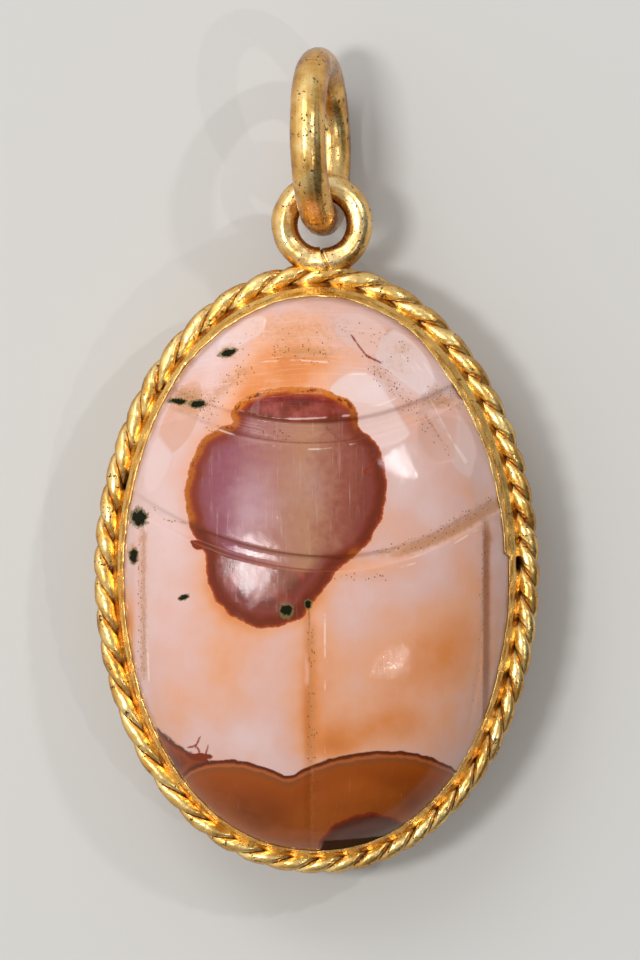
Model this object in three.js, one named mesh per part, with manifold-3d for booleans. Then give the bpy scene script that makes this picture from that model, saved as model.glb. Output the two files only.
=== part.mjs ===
// A carved agate scarab held in a gold pendant mount, lying on the stone's flat base.
// Millimetres. +Z rises out of the beetle's back and +Y runs from its tail towards the jump ring.
// The origin is the centre of the stone's flat base.
import * as THREE from "three";
import { ParametricGeometry } from "three/addons/geometries/ParametricGeometry.js";
import { mergeVertices } from "three/addons/utils/BufferGeometryUtils.js";
import Module from "manifold-3d";

const wasm = await Module();
wasm.setup();

// Driving dimensions. An oval is half its width, half its length, the Y of its centre and its tailSwell,
// the share by which it grows at its tail's corners. Angles run clockwise from the head end.
const fitGap = 0.03; // clearance between pieces that touch
const carvingGrain = 0.004; // corners left closer than this by the carving become one
const anglesRound = 56; // facets round the stone and its collar

// Where the tail's corners begin, stand full and fall back again, in degrees either side of the head end.
const tailCorner = { from: 95, full: 138, fallFrom: 150, fallTo: 180, fall: 0.5 };

const stone = {
  girdle: { halfWidth: 8.1, halfLength: 11.54, centreY: 0, tailSwell: 0.0275 }, // widest outline
  girdleHeight: 4.6, // the straight side ends and the back begins
  backRise: 4.75, // from the girdle to the crown of the back
  backRoundness: 2.2, // 2 is an ellipse, more is squarer at the sides
  headDrop: 0.3, // how far the head lies below the line of the back
  footInset: 0.5, // the flat base is smaller than the girdle by this
  footBevel: 0.7, // height of the bevel round the base
  backRows: 10,
};

const border = {
  outline: { halfWidth: 9.29, halfLength: 12.71, centreY: 0.08, tailSwell: 0.013 },
  tailFullness: 0.019, // the tail half is this much wider, the head half narrower
  tailThinning: 0.13, // the cord is hammered this much thinner round the tail
  strandDiameter: 0.48, // two gold wires twisted together, hammered to one round cord
  turns: 25,
  // the hand twist runs tighter and looser on its way: waves round the oval, size in lobes, place in degrees
  unevenTwist: [[0, -2.12, 0], [1, 0.89, -132], [2, 0.78, -79], [3, 0.17, -107], [4, 0.15, 87]],
  creaseDepth: 0.42, // between the strands, as a share of the cord's radius
  creaseWidth: 0.4,
  stepsPerTurn: 7,
  sides: 12,
  axisHeight: 4.0,
};

const collar = {
  wall: { halfWidth: 8.29, halfLength: 11.71, centreY: 0.08, tailSwell: 0.025 }, // outer face
  rim: { halfWidth: 8.02, halfLength: 11.44, centreY: -0.06, tailSwell: 0.0235 }, // burnished over the stone
  rimThickness: 0.09,
  rimStand: 0.04, // the rim's edge stands this far off the stone
  leanStart: 4.5, // the wall stands straight up to here
  footHeight: 0.2, // lower edge, turned in under the stone's bevel
  footThickness: 0.14,
  footTurnIn: 0.08, // the foot's outer corner lies this much lower than its inner one
  wideLip: { width: 0.2, from: 28, full: 46, to: 86 }, // degrees clockwise from the head end
};

const eye = {
  centre: new THREE.Vector3(0.22, 14.43, 4.0),
  wireDiameter: 1.1,
  holeDiameter: 2.0,
  footSize: new THREE.Vector3(1.15, 0.42, 0.45), // half sizes of the solder at its foot
  footY: 12.92,
  facets: { along: 26, round: 12, foot: 14, seat: 60 },
};

const jumpRing = {
  centre: new THREE.Vector3(0.15, 17.86, 4.0),
  wireDiameter: 1.5,
  outerDiameter: 7.9,
  lean: 9.5, // degrees off upright, its top towards -X
  yaw: 1.5,
  facets: { along: 34, round: 12 },
};

const gold = { color: 0xd9a441, roughness: 0.32, metalness: 1.0 };
const agate = { color: 0xe8c4b4, roughness: 0.22, metalness: 0.0 };

const { smoothstep, degToRad, radToDeg } = THREE.MathUtils;

const degreesFromHead = (angle) => radToDeg(Math.acos(Math.cos(angle)));

// How far an angle lies into the tail's end, from 0 to 1.
function tailward(angle) {
  return smoothstep(degreesFromHead(angle), tailCorner.from, tailCorner.full);
}

// How much an oval is stretched at an angle: most at the tail's two corners, less at its very end.
function stretchAt(oval, angle) {
  const { fallFrom, fallTo, fall } = tailCorner;
  const fallen = fall * smoothstep(degreesFromHead(angle), fallFrom, fallTo);
  return 1 + oval.tailSwell * (tailward(angle) - fallen);
}

// A point of an oval, at an angle in radians.
function ovalPoint(oval, angle, height, grow = 0) {
  const stretch = stretchAt(oval, angle);
  return new THREE.Vector3(
    (oval.halfWidth + grow) * stretch * Math.sin(angle),
    oval.centreY + (oval.halfLength + grow) * stretch * Math.cos(angle),
    height,
  );
}

// A closed surface from a function of two parameters, each 0 to 1, with no doubled corners.
function closedSurface(pointAt, slices, stacks) {
  const drawn = new ParametricGeometry((u, v, target) => target.copy(pointAt(u, v)), slices, stacks);
  return withSharedCorners(drawn);
}

function withSharedCorners(geometry, within = 1e-3) {
  const bare = geometry.clone();
  bare.deleteAttribute("normal");
  bare.deleteAttribute("uv");
  return mergeVertices(bare, within);
}

function solidFrom(geometry) {
  const shared = withSharedCorners(geometry);
  const mesh = new wasm.Mesh({
    numProp: 3,
    vertProperties: new Float32Array(shared.attributes.position.array),
    triVerts: new Uint32Array(shared.index.array),
  });
  return new wasm.Manifold(mesh);
}

function geometryFrom(solid) {
  const mesh = solid.getMesh();
  const geometry = new THREE.BufferGeometry();
  geometry.setAttribute("position", new THREE.BufferAttribute(new Float32Array(mesh.vertProperties), 3));
  geometry.setIndex(new THREE.BufferAttribute(new Uint32Array(mesh.triVerts), 1));
  geometry.computeVertexNormals();
  return geometry;
}

function namedMesh(name, geometry, finish) {
  geometry.computeVertexNormals();
  const mesh = new THREE.Mesh(geometry, new THREE.MeshStandardMaterial(finish));
  mesh.name = name;
  return mesh;
}

// Height of the back over a point of the base: an oval dome, lower over the head.
function backHeight(x, y) {
  const across = x / stone.girdle.halfWidth;
  const forward = y / stone.girdle.halfLength;
  const reach = Math.hypot(across, forward) / stretchAt(stone.girdle, Math.atan2(across, forward));
  const dome = Math.sqrt(Math.max(0, 1 - Math.min(1, reach) ** stone.backRoundness));
  const headward = smoothstep(y, 5.2, 8.5);
  return stone.girdleHeight + (stone.backRise - stone.headDrop * headward) * dome;
}

// The stone before carving: base, bevel, straight side and domed back, in rows from base to crown.
function stoneBlank() {
  const lowerRows = 3;
  const rows = lowerRows + stone.backRows;
  return closedSurface((u, v) => {
    const angle = -2 * Math.PI * u;
    const row = Math.round(v * rows);
    if (row === 0) return new THREE.Vector3(0, 0, 0);
    if (row === 1) return ovalPoint(stone.girdle, angle, 0, -stone.footInset);
    if (row === 2) return ovalPoint(stone.girdle, angle, stone.footBevel);
    const reach = Math.cos(((row - lowerRows) / stone.backRows) * (Math.PI / 2));
    const point = ovalPoint(stone.girdle, angle, 0).multiplyScalar(row === rows ? 0 : reach);
    return point.setZ(backHeight(point.x, point.y));
  }, anglesRound, rows);
}

// The knife that cuts the grooves: a blunt V in section.
const knife = {
  lift: 0.25, // its flat top passes this far above the stone
  bluntness: 0.25, // width of its edge, as a share of the groove's width
  fullShare: 1.6, // how soon it reaches full size from either end: more is sooner
  fadeRoundness: 0.7,
};

// A tapered knife that follows a line over the back. pathAt gives x and y for t from 0 to 1.
// In section it is a V as wide as the groove where it meets the stone, and it shrinks to a point
// above the stone at both ends, so the groove fades out.
function grooveKnife({ pathAt, width, depth, steps }) {
  const { lift, bluntness, fullShare, fadeRoundness } = knife;
  const corners = 4;
  const ahead = 0.01;
  return closedSurface((u, v) => {
    const fade = Math.min(1, fullShare * Math.sin(Math.PI * u) ** fadeRoundness);
    const [x, y] = pathAt(u);
    const before = Math.min(u, 1 - ahead);
    const [fromX, fromY] = pathAt(before);
    const [toX, toY] = pathAt(before + ahead);
    const across = new THREE.Vector2(fromY - toY, toX - fromX).normalize();
    const corner = Math.round(v * corners) % corners;
    const topReach = width / 2 + lift;
    const edgeReach = (bluntness * width) / 2;
    const reach = [-topReach, topReach, edgeReach, -edgeReach][corner];
    const drop = corner < 2 ? lift : -depth;
    return new THREE.Vector3(
      x + across.x * reach * fade,
      y + across.y * reach * fade,
      backHeight(x, y) + lift + (drop - lift) * fade,
    );
  }, steps, corners);
}

const along = (from, to, t) => from + (to - from) * t;

// A line through a few hand-set points, as a smooth curve.
function smoothLine(points) {
  const curve = new THREE.SplineCurve(points.map(([x, y]) => new THREE.Vector2(x, y)));
  return (t) => curve.getPoint(t).toArray();
}

// A line across the back that sags towards the tail in the middle, bent differently on either side.
function saggingLine([fromX, toX], [middleX, middleY], bendLeft, bendRight = bendLeft) {
  return (t) => {
    const x = along(fromX, toX, t);
    const bend = x < middleX ? bendLeft : bendRight;
    return [x, middleY + bend * (x - middleX) ** 2];
  };
}

const grooves = [
  // between the wing cases, from the thorax to the tail
  { pathAt: (t) => [-0.05, along(1.2, -12.6, t)], width: 0.75, depth: 0.3, steps: 14 },
  // thorax and wing cases
  { pathAt: saggingLine([-7.9, 8.1], [0.5, 0.33], 0.04, 0.05), width: 0.68, depth: 0.3, steps: 22 },
  // head and thorax
  { pathAt: saggingLine([-6.9, 7.1], [-0.3, 5.72], 0.045), width: 1.0, depth: 0.36, steps: 20 },
  // outer edges of the wing cases
  { pathAt: (t) => [-7.2, along(1.9, -4.9, t)], width: 0.4, depth: 0.2, steps: 9 },
  { pathAt: smoothLine([[7.0, 2.3], [6.95, -0.9], [6.5, -6.6]]), width: 0.4, depth: 0.2, steps: 10 },
  // front plate of the head
  { pathAt: saggingLine([-3.3, 1.9], [-0.7, 9.1], -0.08), width: 0.5, depth: 0.16, steps: 8 },
  // cheeks, running back from the front plate to the thorax
  { pathAt: smoothLine([[-2.9, 8.6], [-4.0, 7.3], [-5.3, 6.3]]), width: 0.5, depth: 0.2, steps: 7 },
  { pathAt: smoothLine([[1.6, 8.7], [3.6, 7.2], [5.1, 5.4], [6.1, 4.1]]), width: 0.5, depth: 0.2, steps: 9 },
];

function carvedStone() {
  let solid = solidFrom(stoneBlank());
  for (const groove of grooves) {
    solid = solid.subtract(solidFrom(grooveKnife(groove)));
  }
  // Two knives that cross near the rim can leave a crumb of stone loose between them.
  const bodies = solid.decompose().sort((a, b) => b.volume() - a.volume());
  return withSharedCorners(geometryFrom(bodies[0]), carvingGrain);
}

// How much further the rim reaches over the stone at the head's right, in a broad burnished lip.
function wideLip(angle) {
  const degrees = radToDeg(angle);
  const { width, from, full, to } = collar.wideLip;
  return degrees < to ? width * smoothstep(degrees, from, full) : 0;
}

// The collar's section, from the foot's inner edge round the outside to the rim and down inside.
function collarSection(angle) {
  const { girdle, footInset, footBevel, girdleHeight } = stone;
  const bevelInset = footInset * (1 - collar.footHeight / footBevel);
  const reach = -wideLip(angle);
  const rim = ovalPoint(collar.rim, angle, 0, reach);
  const rimOuter = ovalPoint(collar.rim, angle, 0, reach + collar.rimThickness);
  const rimHeight = backHeight(rim.x, rim.y) + fitGap + collar.rimStand;
  const seat = ovalPoint(girdle, angle, girdleHeight, fitGap);
  const bed = [1 / 3, 2 / 3].map((share) => {
    const point = rim.clone().lerp(ovalPoint(girdle, angle, 0), share);
    const height = backHeight(point.x, point.y) + fitGap;
    const outward = new THREE.Vector2(point.x, point.y).setLength(fitGap);
    return new THREE.Vector3(point.x + outward.x, point.y + outward.y, height);
  });
  return [
    ovalPoint(girdle, angle, collar.footHeight, fitGap * 1.5 - bevelInset),
    ovalPoint(girdle, angle, collar.footHeight - collar.footTurnIn, collar.footThickness - bevelInset),
    ovalPoint(collar.wall, angle, footBevel),
    ovalPoint(collar.wall, angle, collar.leanStart),
    rimOuter.setZ(rimHeight),
    rim.setZ(rimHeight),
    ...bed,
    seat,
    ovalPoint(girdle, angle, footBevel, fitGap),
  ];
}

function collarBand() {
  const corners = collarSection(0).length;
  return closedSurface((u, v) => {
    const section = collarSection(2 * Math.PI * (1 - u));
    return section[Math.round(v * corners) % corners];
  }, anglesRound, corners);
}

// How far the cord has turned about its own axis, at an angle round the oval.
function twistAt(angle) {
  const lobes = border.unevenTwist.reduce(
    (sum, [waves, size, place]) => sum + size * Math.cos(waves * angle - degToRad(place)),
    0,
  );
  return -(border.turns * angle + Math.PI * lobes);
}

// The twisted border: a round cord with a crease on either side, between its two strands, that turns
// as it goes round the collar.
function twistedBorder() {
  const axis = { ...border.outline };
  axis.halfWidth -= border.strandDiameter;
  axis.halfLength -= border.strandDiameter;
  return closedSurface((u, v) => {
    const angle = 2 * Math.PI * (1 - u);
    const point = ovalPoint(axis, angle, border.axisHeight);
    point.x *= 1 - border.tailFullness * Math.cos(angle);
    const outward = new THREE.Vector2(
      Math.sin(angle) / axis.halfWidth,
      Math.cos(angle) / axis.halfLength,
    ).normalize();
    const turn = 2 * Math.PI * (v % 1);
    const inCrease = Math.exp(-((Math.abs(Math.cos(turn)) / border.creaseWidth) ** 1.4));
    const thickness = border.strandDiameter * (1 - border.tailThinning * tailward(angle));
    const radius = thickness * (1 - border.creaseDepth * inCrease);
    const facing = turn + twistAt(angle);
    point.x += outward.x * radius * Math.cos(facing);
    point.y += outward.y * radius * Math.cos(facing);
    point.z += radius * Math.sin(facing);
    return point;
  }, border.turns * border.stepsPerTurn, border.sides);
}

// The suspension eye: a wire loop lying level, with solder at its foot, hollowed to sit on the border.
function suspensionEye() {
  const loopRadius = (eye.holeDiameter + eye.wireDiameter) / 2;
  const loop = new THREE.TorusGeometry(loopRadius, eye.wireDiameter / 2, eye.facets.round, eye.facets.along);
  loop.translate(eye.centre.x, eye.centre.y, eye.centre.z);
  const foot = new THREE.SphereGeometry(1, eye.facets.foot, eye.facets.foot / 2 + 1);
  foot.scale(eye.footSize.x, eye.footSize.y, eye.footSize.z);
  foot.translate(eye.centre.x, eye.footY, eye.centre.z);
  const axisWidth = border.outline.halfWidth - border.strandDiameter;
  const axisLength = border.outline.halfLength - border.strandDiameter;
  const bendRadius = axisWidth ** 2 / axisLength; // of the border's axis, at the head end
  const clearRadius = (border.strandDiameter + fitGap) / Math.cos(Math.PI / eye.facets.foot);
  const seat = new THREE.TorusGeometry(bendRadius, clearRadius, eye.facets.foot, eye.facets.seat);
  seat.translate(0, border.outline.centreY + axisLength - bendRadius, border.axisHeight);
  const solid = solidFrom(loop).add(solidFrom(foot)).subtract(solidFrom(seat));
  return geometryFrom(solid);
}

function jumpRingMesh() {
  const middleRadius = (jumpRing.outerDiameter - jumpRing.wireDiameter) / 2;
  const { along: facetsAlong, round: facetsRound } = jumpRing.facets;
  const loop = new THREE.TorusGeometry(middleRadius, jumpRing.wireDiameter / 2, facetsRound, facetsAlong);
  const mesh = namedMesh("jump_ring", loop, gold);
  mesh.rotation.order = "ZYX";
  mesh.rotation.y = degToRad(90 - jumpRing.lean);
  mesh.rotation.z = degToRad(jumpRing.yaw);
  mesh.position.copy(jumpRing.centre);
  return mesh;
}

const amulet = new THREE.Group();
amulet.add(
  namedMesh("scarab_stone", carvedStone(), agate),
  namedMesh("bezel_collar", collarBand(), gold),
  namedMesh("twisted_wire_border", twistedBorder(), gold),
  namedMesh("suspension_eye", suspensionEye(), gold),
  jumpRingMesh(),
);

export default amulet;
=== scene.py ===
import math
from functools import partial

import bpy
import numpy as np
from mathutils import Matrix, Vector


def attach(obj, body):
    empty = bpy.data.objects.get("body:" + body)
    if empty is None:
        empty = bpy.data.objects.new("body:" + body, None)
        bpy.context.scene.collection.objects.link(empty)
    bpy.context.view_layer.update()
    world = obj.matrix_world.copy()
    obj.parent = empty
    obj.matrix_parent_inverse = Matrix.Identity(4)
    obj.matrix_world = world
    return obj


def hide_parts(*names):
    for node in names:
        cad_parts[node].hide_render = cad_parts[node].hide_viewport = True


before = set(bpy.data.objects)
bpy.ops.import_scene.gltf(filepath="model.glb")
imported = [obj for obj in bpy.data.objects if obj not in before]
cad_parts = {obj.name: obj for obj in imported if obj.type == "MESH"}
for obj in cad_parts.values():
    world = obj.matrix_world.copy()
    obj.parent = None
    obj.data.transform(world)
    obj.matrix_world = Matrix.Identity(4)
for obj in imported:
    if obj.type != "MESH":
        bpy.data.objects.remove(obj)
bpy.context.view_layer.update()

# The amulet lies on the stone's flat base: +Z is up out of the back, +Y points to the jump ring.
# All shapes are worked out in millimetres and put into the meshes in metres.
mm = 0.001

# Where the pieces meet. An oval is half its width, half its length, the Y of its centre and the share by
# which it grows at its tail's two corners. Angles run clockwise from the head end.
layout = {
    "girdle": (8.1, 11.54, 0.0, 0.0275),
    "girdleHeight": 4.6,
    "backRise": 4.75,
    "backRoundness": 2.2,
    "headDrop": 0.3,
    "footInset": 0.5,
    "footBevel": 0.7,
    "wall": (8.29, 11.71, 0.08, 0.025),
    "rim": (8.02, 11.44, -0.06, 0.0235),
    "borderAxis": (8.81, 12.23, 0.08, 0.013),
    "tailFullness": 0.019,
    "borderHeight": 4.0,
}


def smoothStep(low, high, value):
    # 0 below low, 1 above high, an S curve between
    t = np.clip((value - low) / (high - low), 0, 1)
    return t * t * (3 - 2 * t)


def xyz(x, y, z):
    # three arrays, or numbers, as one array of points
    return np.stack(np.broadcast_arrays(x, y, z), axis=-1)


def softNoise(points, size, seed, waves=22):
    # smooth lumps about size mm across: a sum of cosine waves in random directions, near -1 to 1
    draw = np.random.default_rng(seed)
    total = np.zeros(points.shape[:-1])
    for wave in range(waves):
        direction = draw.normal(size=3)
        direction *= draw.uniform(0.6, 1.5) * 2 * np.pi / size / np.linalg.norm(direction)
        total += np.cos(points @ direction + draw.uniform(0, 2 * np.pi))
    return total / math.sqrt(waves) / 1.3


def drawnMarks(around, turn, seed, slowest=9, fastest=34, waves=12):
    # lengthwise flats and scratches of a hammered, drawn wire: cosines of whole numbers of ridges round it,
    # each fading in and out as it goes along; near -1 to 1
    draw = np.random.default_rng(seed)
    total = 0.0
    for wave in range(waves):
        ridges = draw.integers(slowest, fastest)
        slide = draw.uniform(0.2, 1.2) * np.sin(around * draw.integers(1, 4) + draw.uniform(0, 6))
        fade = 0.5 + 0.5 * np.cos(around * draw.integers(1, 7) + draw.uniform(0, 6))
        total = total + fade * np.cos(ridges * turn + slide + draw.uniform(0, 6)) * slowest / ridges
    return total / math.sqrt(waves)


def tailward(angle, start=95, full=138):
    # how far an angle lies into the tail's end, from 0 to 1
    return smoothStep(start, full, np.degrees(np.arccos(np.cos(angle))))


def stretchAt(oval, angle):
    # 1 at the head, most at the tail's two corners, and half as much at the very end
    return 1 + oval[3] * (tailward(angle) - 0.5 * tailward(angle, 150, 180))


def ovalPoint(oval, angle, height, grow=0.0):
    # x = (half width + grow) * stretch * sin, y = centre + (half length + grow) * stretch * cos
    halfWidth, halfLength, centreY, _ = oval
    stretch = stretchAt(oval, angle)
    x = (halfWidth + grow) * stretch * np.sin(angle)
    y = centreY + (halfLength + grow) * stretch * np.cos(angle)
    return xyz(x, y, height)


def ovalReach(oval, x, y):
    # 0 at the oval's centre, 1 on it
    across, forward = x / oval[0], (y - oval[2]) / oval[1]
    return np.hypot(across, forward) / stretchAt(oval, np.arctan2(across, forward))


def backHeight(x, y):
    # an oval dome, lower over the head
    reach = np.clip(ovalReach(layout["girdle"], x, y), 0, 1)
    dome = np.sqrt(np.clip(1 - reach ** layout["backRoundness"], 0, 1))
    headward = smoothStep(5.2, 8.5, y)
    return layout["girdleHeight"] + (layout["backRise"] - layout["headDrop"] * headward) * dome


def outwardOf(oval, angle):
    # straight out from an oval, level, one millimetre long
    outward = xyz(np.sin(angle) / oval[0], np.cos(angle) / oval[1], 0)
    return outward / np.linalg.norm(outward, axis=-1, keepdims=True)


def fullTurn(count):
    return np.linspace(0, 2 * np.pi, count, endpoint=False)


def loopAngles(wire):
    # angles along a loop of wire and round its section, as two grids
    return np.meshgrid(fullTurn(wire["along"]), fullTurn(wire["round"]), indexing="ij")


def newObject(name, data):
    thing = bpy.data.objects.new(name, data)
    bpy.context.scene.collection.objects.link(thing)
    return thing


def meshPiece(name, vertices, faceSets, material, fields, node):
    # puts whole arrays into a mesh, turns the faces outwards, and hangs the piece on the frame
    vertices = np.asarray(vertices, float).reshape(-1, 3)
    volume = 0.0
    for faces in faceSets:
        corners = [vertices[faces[:, k]] for k in range(faces.shape[1])]
        for second, third in zip(corners[1:], corners[2:]):
            volume += np.einsum("ij,ij->i", corners[0], np.cross(second, third)).sum()
    if volume < 0:
        faceSets = [faces[:, ::-1] for faces in faceSets]
    mesh = bpy.data.meshes.new(name)
    mesh.from_pydata((vertices * mm).tolist(), [], [face for faces in faceSets for face in faces.tolist()])
    mesh.polygons.foreach_set("use_smooth", np.ones(len(mesh.polygons), bool))
    for field, values in fields.items():
        layer = mesh.attributes.new(field, "FLOAT", "POINT")
        layer.data.foreach_set("value", np.asarray(values, np.float32).reshape(-1))
    mesh.materials.append(material)
    piece = newObject(name, mesh)
    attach(piece, "root")
    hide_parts(node)


def goldPiece(name, surface, material, node):
    # A surface that closes both ways, like a tube bent into a ring, and how much dark earth and painted
    # shade each of its corners gets. Each quad joins a corner to the next along and round.
    points, hollow = surface
    rows, columns = hollow.shape
    row, column = np.meshgrid(np.arange(rows), np.arange(columns), indexing="ij")
    nextRow, nextColumn = (row + 1) % rows, (column + 1) % columns
    corners = [row * columns + column, nextRow * columns + column,
               nextRow * columns + nextColumn, row * columns + nextColumn]
    faces = np.stack(corners, axis=-1).reshape(-1, 4)
    meshPiece(name, points, [faces], material, {"hollow": hollow}, node)


def linearColour(code):
    # sRGB hex to linear red, green, blue, alpha
    parts = [int(code[k:k + 2], 16) / 255 for k in (1, 3, 5)]
    return tuple(c / 12.92 if c <= 0.04045 else ((c + 0.055) / 1.055) ** 2.4 for c in parts) + (1.0,)


def addNode(tree, kind, *sockets, **settings):
    # One node. Its sockets are given in their order, or by name or number in one dictionary, and a node or
    # socket among them is linked in. Settings are its own properties, and stops are those of its ramp.
    node = tree.nodes.new("ShaderNode" + kind)
    for key, value in settings.items():
        if key == "stops":
            stops = node.color_ramp.elements
            while len(stops) < len(value):
                stops.new(0.5)
            # places first, because they put the stops in order
            for stop, (place, colour) in zip(stops, value):
                stop.position = place
            for stop, (place, colour) in zip(stops, value):
                stop.color = linearColour(colour)
        else:
            setattr(node, key, value)
    given = sockets[0] if sockets and isinstance(sockets[0], dict) else dict(enumerate(sockets))
    for key, value in given.items():
        if isinstance(value, bpy.types.Node):
            value = value.outputs[0]
        if isinstance(value, bpy.types.NodeSocket):
            tree.links.new(value, node.inputs[key])
        else:
            node.inputs[key].default_value = value
    return node


def newMaterial(name):
    # an empty material, the call that adds nodes to it, and its pattern coordinates in millimetres
    material = bpy.data.materials.new(name)
    material.use_nodes = True
    material.node_tree.nodes.clear()
    add = partial(addNode, material.node_tree)
    place = add("Mapping", {"Scale": (1000, 1000, 1000), "Vector": add("TexCoord").outputs["Object"]})
    return material, add, place


def agedGold(name, finish):
    # Aged high-carat gold, hand worked and worn to a soft gleam. Crowns are painted pale yellow and flanks
    # brown as painted light and shade, by which way each face points. Broad highlights are broken by small
    # hammer dents, brown earth is left in pits and hollows, and a thin coat of old wax gives the pale top to
    # the highlights.
    material, add, place = newMaterial(name)
    hollow = add("Attribute", attribute_name="hollow")
    facing = add("SeparateXYZ", {"Vector": add("TexCoord").outputs["Normal"]})
    # pits are ragged, 0.05 to 0.1 mm across and gathered in patches; dents are about 0.4 mm across
    tone, grain, pit, patch, dents = (
        add("TexNoise", {"Scale": scale, "Detail": detail, "Roughness": roughness, "Vector": place})
        for scale, detail, roughness in (
            (1.1, 4.0, 0.5), (5.0, 5.0, 0.6), (6.5, 3.0, 0.65), (1.4, 2.0, 0.5), (2.2, 3.0, 0.5)))
    pitted = add("Math", patch, 0.35, pit, operation="MULTIPLY_ADD")
    pitMask = add("MapRange", pitted, finish["pits"], finish["pits"] + 0.03)
    # earth lies in the hollows, ragged at its edges, and the same mask lays on some painted shade
    earthAndShadeRagged = add("Math", grain, 0.9, hollow.outputs["Fac"], operation="MULTIPLY_ADD")
    earthAndShadeMask = add("MapRange", earthAndShadeRagged, 1.12 - finish["earth"], 1.42 - finish["earth"])
    # dark pits and earth, and the painted shade that rides in the earth attribute
    dirt = add("Math", pitMask, earthAndShadeMask, operation="MAXIMUM")
    # painted light and shade: sideways faces are painted darker brown, and upward faces painted bright
    flank = add("MapRange", facing.outputs["Z"], 0.85, 0.15, 0.0, finish["shade"])
    shadedTone = add("Math", tone, flank, operation="SUBTRACT")
    # the flank stop is a painted shade, and the bright stop a painted light on what faces up
    metalTone = add("ValToRGB", shadedTone, stops=[
        (0.0, finish["flank"]), (0.34, finish["deep"]), (0.6, finish["bright"])])
    colour = add("Mix", {0: dirt, 6: metalTone, 7: linearColour("#3a1c0a")}, data_type="RGBA")
    metal = add("MapRange", dirt, 0.0, 1.0, 1.0, 0.15)
    rough = add("MapRange", grain, 0.3, 0.7, finish["roughness"] - 0.06, finish["roughness"] + 0.12)
    roughDirty = add("Math", dirt, 0.45, rough, operation="MULTIPLY_ADD")
    # shallow dents with finer scratching on them, and the pits sunk in
    relief = add("Math", grain, 0.3, dents, operation="MULTIPLY_ADD")
    reliefPitted = add("Math", pitMask, -0.5, relief, operation="MULTIPLY_ADD")
    bump = add("Bump", {"Strength": 0.5, "Distance": 0.00004, "Height": reliefPitted})
    shader = add("BsdfPrincipled", {
        "Coat Weight": 0.35, "Coat Roughness": 0.22, "Base Color": colour.outputs[2], "Metallic": metal,
        "Roughness": roughDirty, "Normal": bump})
    add("OutputMaterial", {"Surface": shader})
    return material


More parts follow.
